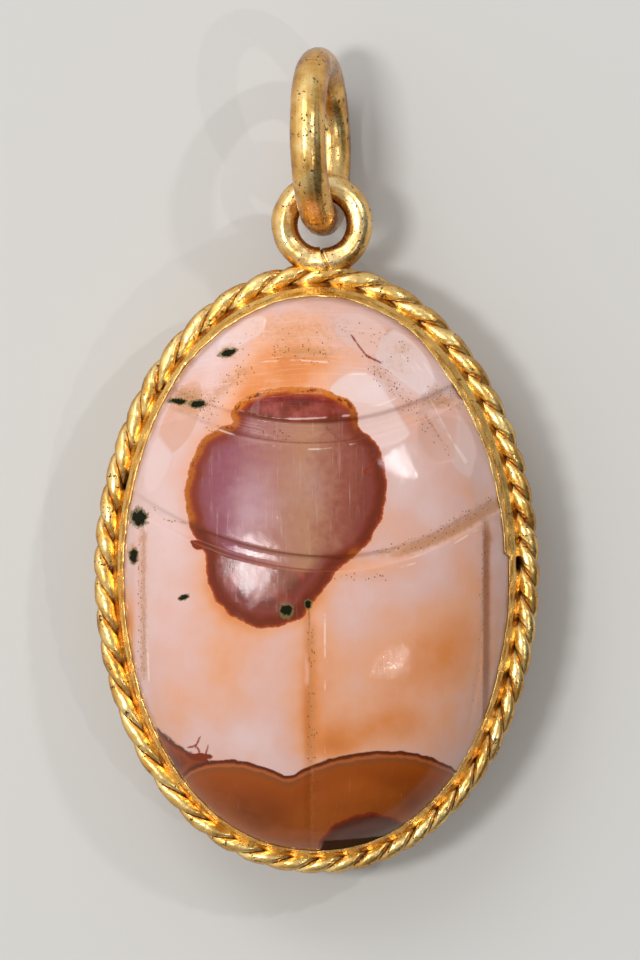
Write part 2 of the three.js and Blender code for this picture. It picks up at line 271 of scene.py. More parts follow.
def bandedAgate(name, fieldNames):
    # Polished chalcedony: light sinks a little way in and comes back pink and milky, so edges glow
    # and colours lie under a clear, glossy skin. IOR 1.54.
    material, add, place = newMaterial(name)
    field = {key: add("Attribute", attribute_name=key).outputs["Fac"] for key in fieldNames}
    cloud, veil, fine, grit, ragged = (
        add("TexNoise", {"Scale": scale, "Detail": detail, "Roughness": roughness, "Vector": place})
        for scale, detail, roughness in (
            (0.35, 3.0, 0.5), (1.1, 4.0, 0.5), (3.2, 4.0, 0.5), (9.0, 3.0, 0.7), (4.2, 6.0, 0.75)))

    # ground: lilac-white milk warming through peach to orange
    warmth = add("Math", cloud, 0.7, field["warmth"], operation="MULTIPLY_ADD")
    warmthVeiled = add("Math", veil, 0.3, warmth, operation="MULTIPLY_ADD")
    warmSpan = add("MapRange", warmthVeiled, 0.3, 1.6)
    paint = add("ValToRGB", warmSpan, stops=[
        (0.0, "#dfc1bd"), (0.18, "#deb3a7"), (0.38, "#e3a684"), (0.62, "#dc8a50"), (1.0, "#c46624")])

    # heart of the inclusion: mauve on the left, tan in the middle, red-brown on the right and in both ends
    across = add("SeparateXYZ", {"Vector": place})
    heartCloud = add("Math", cloud, 1.8, across, operation="MULTIPLY_ADD")
    heartAcross = add("Math", fine, 1.6, heartCloud, operation="MULTIPLY_ADD")
    heartSpan = add("MapRange", heartAcross, -3.6, 4.4)
    heartMiddle = add("ValToRGB", heartSpan, stops=[
        (0.0, "#7c3e48"), (0.2, "#8c4e62"), (0.42, "#a67068"), (0.62, "#ae7e62"), (0.8, "#8e4c42"),
        (1.0, "#6c2820")])
    heartEnd = add("ValToRGB", veil, stops=[(0.36, "#500801"), (0.5, "#721408"), (0.66, "#963a38")])
    heart = add("Mix", {0: field["headPart"], 6: heartMiddle, 7: heartEnd}, data_type="RGBA")

    # the inclusion's rim, read inwards from its edge: beaded orange, or deep red
    rimEdge = add("Math", ragged, 0.22, field["inclusion"], operation="MULTIPLY_ADD")
    rimSpan = add("MapRange", rimEdge, 0.0, 0.75)
    rimOrange = add("ValToRGB", rimSpan, stops=[
        (0.10, "#b85c1c"), (0.2, "#c8741a"), (0.38, "#c66c10"), (0.5, "#a84408"), (0.62, "#8a2406"),
        (0.8, "#74180a"), (1.0, "#7c2c22")])
    rimRed = add("ValToRGB", rimSpan, stops=[
        (0.10, "#c46a30"), (0.18, "#a03c10"), (0.30, "#6a1604"), (0.56, "#5c0e05"), (0.8, "#72221a"),
        (1.0, "#7a3434")])
    rim = add("Mix", {0: field["rimDeep"], 6: rimOrange, 7: rimRed}, data_type="RGBA")

    # dirt dots 0.03 to 0.06 mm across, thinned out by each cell's own random value
    dotCell = add("TexVoronoi", {"Scale": 8.5, "Vector": place})
    dotLuck = add("SeparateColor", {"Color": dotCell.outputs["Color"]})
    dotEdge = add("Math", ragged, 0.5, dotCell.outputs["Distance"], operation="MULTIPLY_ADD")
    dotRound = add("MapRange", dotEdge, 0.56, 0.42)
    dotKept = add("Math", field["speckle"], dotLuck.outputs["Red"], operation="GREATER_THAN")
    field["dots"] = add("Math", dotRound, dotKept, operation="MULTIPLY")

    # thin things are read as a distance from their middle line
    edgeGap = add("Math", field["grooveEdge"], operation="ABSOLUTE")
    edgeThin = add("MapRange", edgeGap, 0.07, 0.01)
    field["edgeDirt"] = add("Math", edgeThin, field["grooveDirt"], operation="MULTIPLY")
    # a line's distance changes sign past its ends too, so it is pushed away there
    pastEnd = add("MapRange", field["lineAway"], 0.1, 0.3)
    for key in ("crack", "paleLine"):
        gap = add("Math", field[key], operation="ABSOLUTE")
        field[key] = add("Math", gap, pastEnd, operation="ADD")
    paleNear = add("MapRange", field["paleLine"], 0.07, 0.01, 0.0, 0.9)
    paleWorn = add("MapRange", veil, 0.42, 0.6)
    field["paleThin"] = add("Math", paleNear, paleWorn, operation="MULTIPLY")

    # faint pale scratches, drawn out along the back, and clearer where they cross the inclusion
    drawn = add("Mapping", {"Scale": (7.0, 0.35, 1.0), "Vector": place})
    streak = add("TexNoise", {"Scale": 1.0, "Detail": 5.0, "Roughness": 0.7, "Vector": drawn})
    field["streak"] = streak
    field["streakDark"] = add("Math", streak, field["inclusion"], operation="MINIMUM")
    # the head was rubbed smooth from side to side, which left fine curved scratches
    sideways = add("Mapping", {"Scale": (1.3, 1.0, 1.0), "Vector": place})
    bowed = add("CombineXYZ", {"X": sideways, "Y": field["combed"]})
    combedNoise = add("TexNoise", {"Scale": 1.0, "Detail": 4.0, "Roughness": 0.7, "Vector": bowed})
    onHead = add("MapRange", field["combed"], 64.0, 72.0)
    field["combing"] = combing = add("Math", combedNoise, onHead, operation="MULTIPLY")

    # Painted one over another. A layer shows where its field, plus its wobble times its noise, passes from
    # low to high, and covers at most the share given. Its paint is a colour, a finished paint, or the span
    # of a ramp with its stops. Matt ones lose the polish.
    layers = [
        # painted light and shade on the head's flat cuts: pale where a cut would catch the light, dull
        # elsewhere
        ("facetTone", veil, 0.3, 0.15, 1.0, 0.6, "#ead4d0"),
        ("facetTone", veil, 0.3, 0.05, -0.6, 0.42, "#cc8854"),
        ("tan", ragged, 1.6, 0.95, 1.75, 0.62, "#c68a5a"),
        ("wedge", fine, 0.5, 0.22, 0.42, 1.0, (1.4, [
            (0.2, "#2c0602"), (0.32, "#561204"), (0.46, "#8c3a0e"), (0.7, "#6c200a"), (1.0, "#4a1004")])),
        ("tail", fine, 0.12, 0.04, 0.10, 1.0, (2.2, [
            (0.0, "#8a3008"), (0.035, "#440c02"), (0.085, "#561403"), (0.11, "#a44e14"), (0.14, "#a85c38"),
            (0.18, "#84441a"), (0.3, "#984404"), (0.6, "#8a3a02"), (1.0, "#6c2a01")])),
        ("tail", cloud, 5.0, 3.2, 5.2, 0.55, "#b85c14"),
        ("tailEye", fine, 0.1, 0.04, 0.1, 1.0, (1.3, [
            (0.0, "#5a1004"), (0.07, "#861e06"), (0.15, "#561008"), (0.24, "#44221e"), (0.45, "#54322e"),
            (1.0, "#38201c")])),
        # painted shade: the tail's pit is painted black and matt, and the mesh has no pit there
        ("tailPit", fine, 0.1, 0.03, 0.12, 1.0, "#060302", "matt"),
        ("tan", ragged, 1.6, 1.2, 1.9, 0.3, "#a87a48"),
        ("inclusion", ragged, 0.22, 0.08, 0.13, 1.0, rim.outputs[2]),
        ("bead", ragged, 2.4, 1.72, 1.86, 0.9, "#701a04"),
        ("heart", veil, 0.5, 0.42, 1.1, 1.0, heart.outputs[2]),
        # milky patches in the inclusion, partly milky stone and partly a painted soft sheen
        ("heartMilk", veil, 0.5, 0.3, 1.15, 0.55, "#c8a8b4"),
        # brown stain outside the right wing case, and painted shade along the edge beside the collar
        ("flank", veil, 0.4, 0.3, 1.2, 0.8, "#9c6040"),
        ("streakDark", fine, 0.1, 0.6, 0.76, 0.13, "#e8ccc4"),
        ("streak", fine, 0.1, 0.66, 0.8, 0.1, "#f4ddd6"),
        ("combing", fine, 0.1, 0.58, 0.7, 0.15, "#f6e0d0"),
        ("combing", fine, 0.1, 0.44, 0.34, 0.13, "#a8683c"),
        # pale lines: worn whitish edges, and painted highlights along the lit edges of grooves and cuts
        ("paleThin", fine, 0.5, 0.4, 1.1, 0.42, "#f8e8de"),
        ("edgeDirt", grit, 0.9, 0.6, 1.3, 0.6, "#7a3c18"),
        ("dots", grit, 0.5, 0.4, 0.8, 0.85, "#6a3a0c"),
        ("crack", ragged, 0.16, 0.15, 0.08, 0.95, "#8a300c"),
        ("rust", fine, 0.8, 0.5, 0.7, 1.0, "#7c2c0c"),
        ("spot", ragged, 1.4, 1.1, 1.2, 0.8, "#6e6436"),
        ("spot", ragged, 1.4, 1.3, 1.42, 0.96, "#0c120a", "matt"),
    ]
    matt = field["dots"]
    for key, noise, wobble, low, high, most, over, *finish in layers:
        edge = add("Math", noise, wobble, field[key], operation="MULTIPLY_ADD")
        mask = add("MapRange", edge, low, high, 0.0, most, interpolation_type="SMOOTHSTEP")
        if "matt" in finish:
            matt = add("Math", matt, mask, operation="MAXIMUM")
        if isinstance(over, tuple):
            span = add("MapRange", edge, 0.0, over[0])
            over = add("ValToRGB", span, stops=over[1])
        elif isinstance(over, str):
            over = linearColour(over)
        paint = add("Mix", {0: mask, 6: paint, 7: over}, data_type="RGBA").outputs[2]

    # dirt and the pit are rough and don't shine, and the inclusion is rubbed a little duller than the rest
    rough = add("MapRange", veil, 0.35, 0.65, 0.045, 0.10)
    roughDirty = add("Math", matt, 0.7, rough, operation="MULTIPLY_ADD")
    shine = add("MapRange", matt, 0.0, 1.0, 0.22, 0.02)
    rubbed = add("MapRange", field["heart"], 0.2, 1.4, 0.0, 0.07)
    roughRubbed = add("Math", roughDirty, rubbed, operation="ADD")
    # wear scratches about 0.1 mm apart run mostly along the back
    relief = add("Math", grit, 0.35, streak, operation="MULTIPLY_ADD")
    reliefAll = add("Math", relief, combing, operation="ADD")
    bump = add("Bump", {"Strength": 0.22, "Distance": 0.00003, "Height": reliefAll})
    shader = add("BsdfPrincipled", {
        "IOR": 1.54, "Subsurface Weight": 0.2, "Subsurface Radius": (1.0, 0.45, 0.3),
        "Subsurface Scale": 0.0003, "Base Color": paint, "Roughness": roughRubbed,
        "Specular IOR Level": shine, "Normal": bump})
    add("OutputMaterial", {"Surface": shader})
    return material


# the finish of each gold: its three tones, the crown's a painted light and the flank's a painted shade, how
# far its flanks are painted darker, how rough it is, how much earth it holds in its hollows, and how few
# pits
collarGold = agedGold("burnishedSheetGold", {
    "bright": "#f2cb78", "deep": "#dcab54", "flank": "#c08c40",
    "shade": 0.12, "roughness": 0.28, "earth": 0.05, "pits": 0.83})
borderGold = agedGold("twistedWireGold", {
    "bright": "#fddc90", "deep": "#e4ac52", "flank": "#985f22",
    "shade": 0.5, "roughness": 0.28, "earth": 0.27, "pits": 0.81})
eyeGold = agedGold("solderedLoopGold", {
    "bright": "#ffe2a2", "deep": "#eebc66", "flank": "#a86f2c",
    "shade": 0.42, "roughness": 0.27, "earth": 0.04, "pits": 0.815})
ringGold = agedGold("wornRingGold", {
    "bright": "#fdd88c", "deep": "#e8b058", "flank": "#a2682a",
    "shade": 0.42, "roughness": 0.27, "earth": 0.0, "pits": 0.80})
print("gold made")


stone = {
    "columns": 236,
    "rows": 342,
    "suture": {"x": -0.08, "depth": 0.08},
    "thoraxGroove": {"middle": (0.5, 0.33), "bend": (0.040, 0.050), "halfWidth": 0.35, "depth": 0.17},
    "headGroove": {"middle": (-0.3, 5.72), "bend": (0.045, 0.045), "halfWidth": 0.52, "depth": 0.22},
    "plateArc": {"middle": (-0.7, 8.75), "bend": (-0.05, -0.05), "depth": 0.05},
    "leftSide": {"line": [(-7.28, 1.9), (-7.28, -1.0), (-7.2, -4.9)], "halfWidth": 0.2, "depth": 0.13},
    "rightSide": {"line": [(6.98, 2.3), (6.95, -0.9), (6.7, -4.0), (6.3, -6.6)], "step": 0.12,
                  "halfWidth": 0.16, "depth": 0.04},
    # flat cuts of the head and shoulders: x, y, share of the depth below the dome, lean to the right and
    # headward, and tone from dull to pale: painted light and shade, as each cut would catch the light
    "facetDepth": 1.7,
    "facetReach": 2.4,
    "facets": [
        (-0.8, 7.85, 0.045, 0.0, 0.04, 0.0), (-0.9, 9.8, 0.05, 0.0, -0.04, 0.0),
        (-4.0, 7.9, 0.06, -0.11, 0.03, -0.1), (-3.7, 9.4, 0.06, -0.09, -0.06, 0.6),
        (2.25, 7.45, 0.055, 0.05, 0.12, 0.9), (2.6, 9.5, 0.05, 0.10, -0.05, 0.3),
        (4.3, 7.9, 0.06, 0.06, -0.09, 0.8), (-5.5, 7.1, 0.08, -0.03, 0.12, -0.6),
        (5.5, 5.9, 0.06, -0.10, 0.05, 0.5), (-6.6, 4.9, 0.07, -0.08, 0.05, 0.5),
        (6.9, 3.9, 0.06, 0.08, 0.06, 0.2), (4.9, 6.9, 0.07, 0.0, 0.12, -0.3),
        (3.4, 6.2, 0.05, -0.04, -0.06, -0.1),
    ],
    # edge of the dark inclusion, clockwise from its head end
    "inclusion": [
        (-0.7, 7.58), (0.45, 7.42), (1.35, 7.0), (1.72, 6.35), (1.82, 5.85), (2.45, 5.3), (2.76, 4.4),
        (2.88, 3.4), (2.7, 2.4), (2.26, 1.4), (1.47, 0.55), (0.72, -0.05), (0.35, -0.7), (-0.2, -1.3),
        (-0.75, -1.95), (-2.1, -2.32), (-3.3, -1.95), (-4.15, -1.15), (-4.52, -0.2), (-4.62, 0.75),
        (-5.2, 1.8), (-5.42, 3.1), (-5.25, 4.3), (-4.75, 5.35), (-4.15, 5.85), (-3.45, 6.1), (-3.5, 6.6),
        (-2.9, 7.2), (-1.9, 7.5),
    ],
    # upper edge of the brown tail
    "tail": [
        (-8.2, -11.0), (-6.2, -9.4), (-5.6, -8.55), (-5.1, -8.1), (-4.3, -7.82), (-3.2, -7.82),
        (-2.1, -8.08), (-1.15, -8.42), (-0.45, -8.1), (0.6, -7.72), (2.05, -7.45), (3.5, -7.42),
        (4.6, -7.66), (5.3, -8.0), (5.9, -8.45), (8.2, -11.5),
    ],
    # outer edge of the dark wedge at its left
    "wedge": [
        (-8.2, -4.9), (-6.7, -6.4), (-5.9, -7.0), (-5.0, -7.55), (-4.0, -7.72), (-3.0, -7.82), (0.0, -8.1),
    ],
    # warm clouds: centre, half size, strength
    "warm": [
        (-0.8, 8.5, 2.4, 1.0, 0.62), (-0.9, 10.3, 1.7, 0.8, 0.25), (-2.8, 7.4, 0.8, 0.9, 0.4),
        (-0.1, -4.6, 0.9, 4.0, 0.34), (-3.4, -3.9, 1.7, 1.9, 0.22), (5.5, -2.8, 2.5, 2.2, 0.54),
        (2.9, -6.5, 3.2, 0.95, 0.44), (2.6, -4.8, 2.8, 1.6, 0.26), (-5.9, -5.6, 0.9, 1.6, 0.3),
        (2.4, 0.2, 1.6, 0.5, 0.28), (-7.75, -2.6, 0.18, 1.4, 0.8), (4.5, 1.5, 1.6, 0.5, 0.12),
        (-3.4, -0.1, 1.6, 2.9, 0.25), (2.6, 9.6, 1.0, 0.6, 0.15), (-0.3, -5.4, 0.3, 5.6, 0.25),
        (0.8, -7.2, 1.2, 0.5, 0.4),
    ],
    # milky clouds, the same way
    "milk": [
        (-6.0, 3.6, 1.3, 3.0, 0.22), (-5.9, -1.9, 1.2, 2.2, 0.18), (-3.2, -6.9, 1.4, 0.6, 0.2),
        (-4.2, 9.2, 1.3, 1.1, 0.3), (2.4, 7.5, 0.9, 0.5, 0.3), (4.3, -0.6, 1.6, 0.9, 0.18),
        (3.5, 4.4, 0.6, 1.3, 0.25), (4.6, 7.8, 0.8, 1.0, 0.2), (1.6, -2.2, 0.9, 1.4, 0.12),
    ],
    # and inside the inclusion, where they also paint a soft sheen: milky stone and painted highlight
    "heartMilk": [(-2.6, 2.6, 1.1, 1.7, 0.75), (-0.2, 3.6, 0.9, 1.5, 0.4), (-2.9, -0.7, 0.7, 0.5, 0.4)],
    # dark green growths: centre, half size, turn in degrees
    "spots": [
        (-3.66, 9.03, 0.4, 0.17, 20), (-5.74, 7.02, 0.42, 0.14, -5), (-4.95, 6.9, 0.38, 0.18, 5),
        (-7.37, 2.2, 0.4, 0.4, 0), (-7.6, 0.61, 0.2, 0.34, 0), (-5.5, -1.08, 0.24, 0.12, 20),
        (-1.26, -1.61, 0.3, 0.32, 0), (-0.35, -1.35, 0.16, 0.22, 0),
    ],
    # the dark oval in the tail, and a pit straight across it, painted black and matt as painted shade; the
    # mesh has no pit cut there
    "tailOval": {"centre": (2.2, -12.1), "halfSize": (2.3, 2.1)},
    "tailPit": {"edge": -11.12, "slant": 0.07, "right": 3.4},
    # tan dirt in the long straight grooves: x, half width, strength, and y where it fades in and out
    "dirtStrips": [
        (-0.18, 0.2, 0.68, -1.5, -2.6, -14.0, -13.0), (7.05, 0.16, 0.7, 2.4, 1.9, -6.0, -4.0),
        (-7.16, 0.15, 0.8, 2.0, 1.5, -5.0, -4.0),
    ],
    # bands of dirt dots: x, y at both ends, half width, density
    "speckles": [
        (-3.0, 8.3, -4.6, 6.9, 0.35, 0.5), (-4.6, 6.9, -4.4, 6.0, 0.35, 0.35),
        (-6.1, 7.4, -4.7, 7.0, 0.35, 0.6), (2.2, 8.6, 3.8, 6.9, 0.3, 0.4),
        (3.8, 6.9, 5.4, 5.0, 0.22, 0.3), (-1.6, 9.0, 0.3, 8.9, 0.3, 0.4),
        (2.0, 9.9, 3.6, 9.0, 0.35, 0.22), (4.8, 7.5, 5.8, 6.9, 0.3, 0.45),
        (1.4, 9.9, -3.2, 9.2, 0.5, 0.08), (2.6, 0.72, 4.4, 1.2, 0.22, 0.5),
        (4.4, 1.2, 7.2, 2.9, 0.22, 0.5), (-7.3, 1.8, -7.25, -4.4, 0.12, 0.45),
        (-5.35, 1.98, -6.2, 2.1, 0.06, 0.5), (-6.2, 2.1, -6.9, 2.7, 0.06, 0.4),
        (7.0, 1.9, 6.9, -1.5, 0.14, 0.5), (6.9, -1.5, 6.6, -5.5, 0.12, 0.3),
        (-0.24, -2.4, -0.2, -11.2, 0.17, 0.42), (0.8, -0.25, 2.8, -0.2, 0.22, 0.25),
        (-2.6, 5.85, -1.2, 5.6, 0.2, 0.3), (4.5, 6.4, 5.15, 5.4, 0.08, 0.6),
    ],
    "dirtLines": [[(-0.32, -0.6), (-0.33, -1.3), (-0.3, -2.2)]],
    # tan earth ground into the stone: centre, half size, strength
    "earthStains": [
        (-3.7, 9.05, 0.5, 0.35, 0.8), (-5.3, 7.25, 0.95, 0.45, 0.9), (-5.2, 6.7, 0.8, 0.3, 0.6),
        (-7.65, 0.75, 0.3, 0.45, 1.0), (3.6, 9.2, 0.5, 0.4, 0.55), (3.2, 8.4, 1.1, 0.45, 0.35),
        (5.15, 7.0, 0.9, 0.35, 0.9), (-0.5, 9.0, 1.4, 0.22, 0.55), (-0.6, 9.9, 2.6, 1.1, 0.5),
        (7.1, 1.4, 0.2, 0.4, 1.0),
    ],
    "cracks": [
        [(1.45, 9.72), (1.6, 9.5), (1.86, 9.15)], [(1.86, 9.15), (2.1, 8.88), (2.62, 8.62)],
        [(2.62, 4.85), (2.35, 4.45), (1.95, 4.1), (2.2, 3.98)],
        [(-5.3, -7.3), (-5.0, -7.2), (-4.85, -6.9)], [(-4.9, -7.7), (-4.87, -7.45), (-4.95, -7.3)],
        [(-4.6, -7.75), (-4.57, -7.5), (-4.5, -7.25)],
    ],
    # pale lines along the edges of cuts and grooves: worn whitish edges, and painted highlights where lit
    "paleEdgesAndHighlights": [
        [(-3.09, 8.02), (-2.58, 7.39)], [(1.95, 6.76), (2.6, 6.86), (3.28, 7.14)],
        [(1.0, 8.1), (2.0, 8.15)], [(4.3, 7.85), (4.95, 6.6), (5.7, 5.2), (6.34, 4.14)],
        [(5.0, 6.2), (5.8, 5.1), (6.31, 4.39)], [(3.5, 8.95), (4.3, 7.97)], [(4.45, 8.6), (4.97, 7.76)],
        [(-3.09, 6.62), (-2.33, 6.36), (-1.07, 6.28), (0.19, 6.32), (1.3, 6.42)],
        [(-4.0, 5.83), (-2.6, 5.37), (-1.3, 5.08), (0.44, 5.06), (2.4, 5.45)],
        [(-7.08, 1.8), (-7.05, -1.5), (-6.95, -4.5)], [(0.33, -1.8), (0.34, -5.0), (0.33, -7.4)],
        [(2.7, 0.0), (4.3, 0.42), (5.5, 1.05), (6.6, 1.7)], [(-2.4, 8.62), (-1.1, 8.72), (0.4, 8.62)],
        [(4.02, 8.7), (4.45, 8.03), (4.4, 7.45)], [(-2.15, 10.6), (-2.2, 9.65)],
    ],
}


def groove(distance, halfWidth, wall):
    # 1 on the floor and 0 outside, with walls of the given width
    return 1 - smoothStep(halfWidth - wall, halfWidth, np.abs(distance))


def saggingDistance(x, y, line):
    # distance, positive headward, from a line y = middle + bend * (x - middle) squared, bent left and right
    (middleX, middleY), (bendLeft, bendRight) = line["middle"], line["bend"]
    bend = np.where(x < middleX, bendLeft, bendRight)
    slope = 2 * bend * (x - middleX)
    return (y - middleY - bend * (x - middleX) ** 2) / np.sqrt(1 + slope ** 2)


def smoothCurve(points, closed, steps=6):
    # a curve through the points, each stretch a cubic that leaves along the line between its neighbours
    points = np.asarray(points, float)
    if closed:
        before, after, beyond = (np.roll(points, k, axis=0) for k in (1, -1, -2))
        start = points
    else:
        padded = np.concatenate([points[:1], points, points[-1:]])
        before, start, after, beyond = padded[:-3], padded[1:-2], padded[2:-1], padded[3:]
    t = np.linspace(0, 1, steps, endpoint=False)[None, :, None]
    before, start, after, beyond = (side[:, None] for side in (before, start, after, beyond))
    curve = 0.5 * (2 * start + (after - before) * t + (2 * before - 5 * start + 4 * after - beyond) * t ** 2
                   + (3 * start - before - 3 * after + beyond) * t ** 3)
    curve = curve.reshape(-1, 2)
    return curve if closed else np.concatenate([curve, points[-1:]])


def curveDistance(x, y, curve, closed):
    # distance from a curve of short straight steps; inside a closed one it is positive, outside negative,
    # and an open one is positive on its left
    best = np.full(x.shape, 1e9)
    side = np.ones(x.shape)
    inside = np.zeros(x.shape, bool)
    ends = np.roll(curve, -1, axis=0) if closed else curve[1:]
    for (ax, ay), (bx, by) in zip(curve, ends):
        dx, dy = bx - ax, by - ay
        t = np.clip(((x - ax) * dx + (y - ay) * dy) / (dx * dx + dy * dy + 1e-12), 0, 1)
        gap = np.hypot(x - ax - t * dx, y - ay - t * dy)
        closer = gap < best
        best = np.where(closer, gap, best)
        side = np.where(closer, np.sign(dx * (y - ay) - dy * (x - ax)), side)
        if closed and dy != 0:
            inside ^= ((ay > y) != (by > y)) & (x < dx * (y - ay) / dy + ax)
    return np.where(inside, best, -best) if closed else best * side


def nearestLine(x, y, lines):
    # the signed distance from whichever line is nearest
    farAway = 9.0
    result = np.full(x.shape, farAway)
    for points in lines:
        gap = curveDistance(x, y, smoothCurve(points, False), False)
        result = np.where(np.abs(gap) < np.abs(result), gap, result)
    return result


def lineHeight(x, points):
    # y of the smooth line through the points, at each x
    curve = smoothCurve(points, False)
    return np.interp(x, curve[:, 0], curve[:, 1])


def blobs(x, y, clouds):
    # soft patches added together: strength * exp(-(dx/halfX)^2 - (dy/halfY)^2)
    return sum(strength * np.exp(-((x - cx) / hx) ** 2 - ((y - cy) / hy) ** 2)
               for cx, cy, hx, hy, strength in clouds)


def facetedBack(x, y):
    # the dome with the head's flat cuts: the lowest of the dome and the facets' planes, and each cut's tone
    # of painted light and shade
    surface = backHeight(x, y)
    tone = np.zeros_like(x)
    step = 0.02
    for fx, fy, sink, leanX, leanY, paler in stone["facets"]:
        here = backHeight(np.array(fx), np.array(fy))
        slopeX = (backHeight(np.array(fx + step), np.array(fy)) - here) / step + leanX
        slopeY = (backHeight(np.array(fx), np.array(fy + step)) - here) / step + leanY
        plane = here - stone["facetDepth"] * sink + slopeX * (x - fx) + slopeY * (y - fy)
        cut = (np.hypot(x - fx, y - fy) < stone["facetReach"]) & (plane < surface)
        shown = cut * smoothStep(0.0, 0.035, surface - plane)
        tone = tone * (1 - shown) + paler * shown
        surface = np.where(cut, plane, surface)
    return surface, tone


def carving(x, y):
    # depth cut below the dome, in mm, and the distances from the two long grooves
    suture, thoraxLine, headLine = stone["suture"], stone["thoraxGroove"], stone["headGroove"]
    thorax = saggingDistance(x, y, thoraxLine)
    head = saggingDistance(x, y, headLine)
    # the suture is steep on its left and slopes up on its right
    aside = x - suture["x"]
    steep, slope = smoothStep(-0.5, -0.12, aside), np.clip(1 - (aside + 0.2) / 0.66, 0, 1) ** 1.3
    depth = suture["depth"] * np.where(aside < -0.2, steep, slope) * smoothStep(-0.3, -2.4, thorax)
    # the thorax groove is shallower on the right, and the head's has fine ridges along it
    shallow = 1 - 0.62 * smoothStep(2.0, 3.4, x)
    depth = np.maximum(depth, thoraxLine["depth"] * shallow * groove(thorax, thoraxLine["halfWidth"], 0.17))
    headWide = headLine["halfWidth"] - 0.012 * np.abs(x + 0.3)
    ridges = 1 - 0.07 * np.cos(head * 26)
    depth = np.maximum(depth, headLine["depth"] * groove(head, headWide, 0.2) * ridges)
    # the head steps down behind the edge of its front plate, and rises again towards the groove
    arc = stone["plateArc"]
    plate = saggingDistance(x, y, arc)
    step = arc["depth"] * smoothStep(0.12, -0.02, plate) * smoothStep(-0.9, -0.1, plate)
    depth = depth + step * smoothStep(2.6, 1.8, np.abs(x + 0.8))
    side = stone["leftSide"]
    gap = nearestLine(x, y, [side["line"]])
    depth = np.maximum(depth, side["depth"] * groove(gap, side["halfWidth"], 0.12))
    # outside the right wing case the stone steps down
    side = stone["rightSide"]
    gap = nearestLine(x, y, [side["line"]])
    ends = smoothStep(2.4, 2.0, y) * smoothStep(-7.0, -5.5, y)
    step = side["step"] * smoothStep(0.0, 0.12, -np.abs(gap) * np.sign(6.9 - x) + 0.06)
    depth = np.maximum(depth, ends * (step + side["depth"] * groove(gap, side["halfWidth"], 0.1)))
    return depth, thorax, head


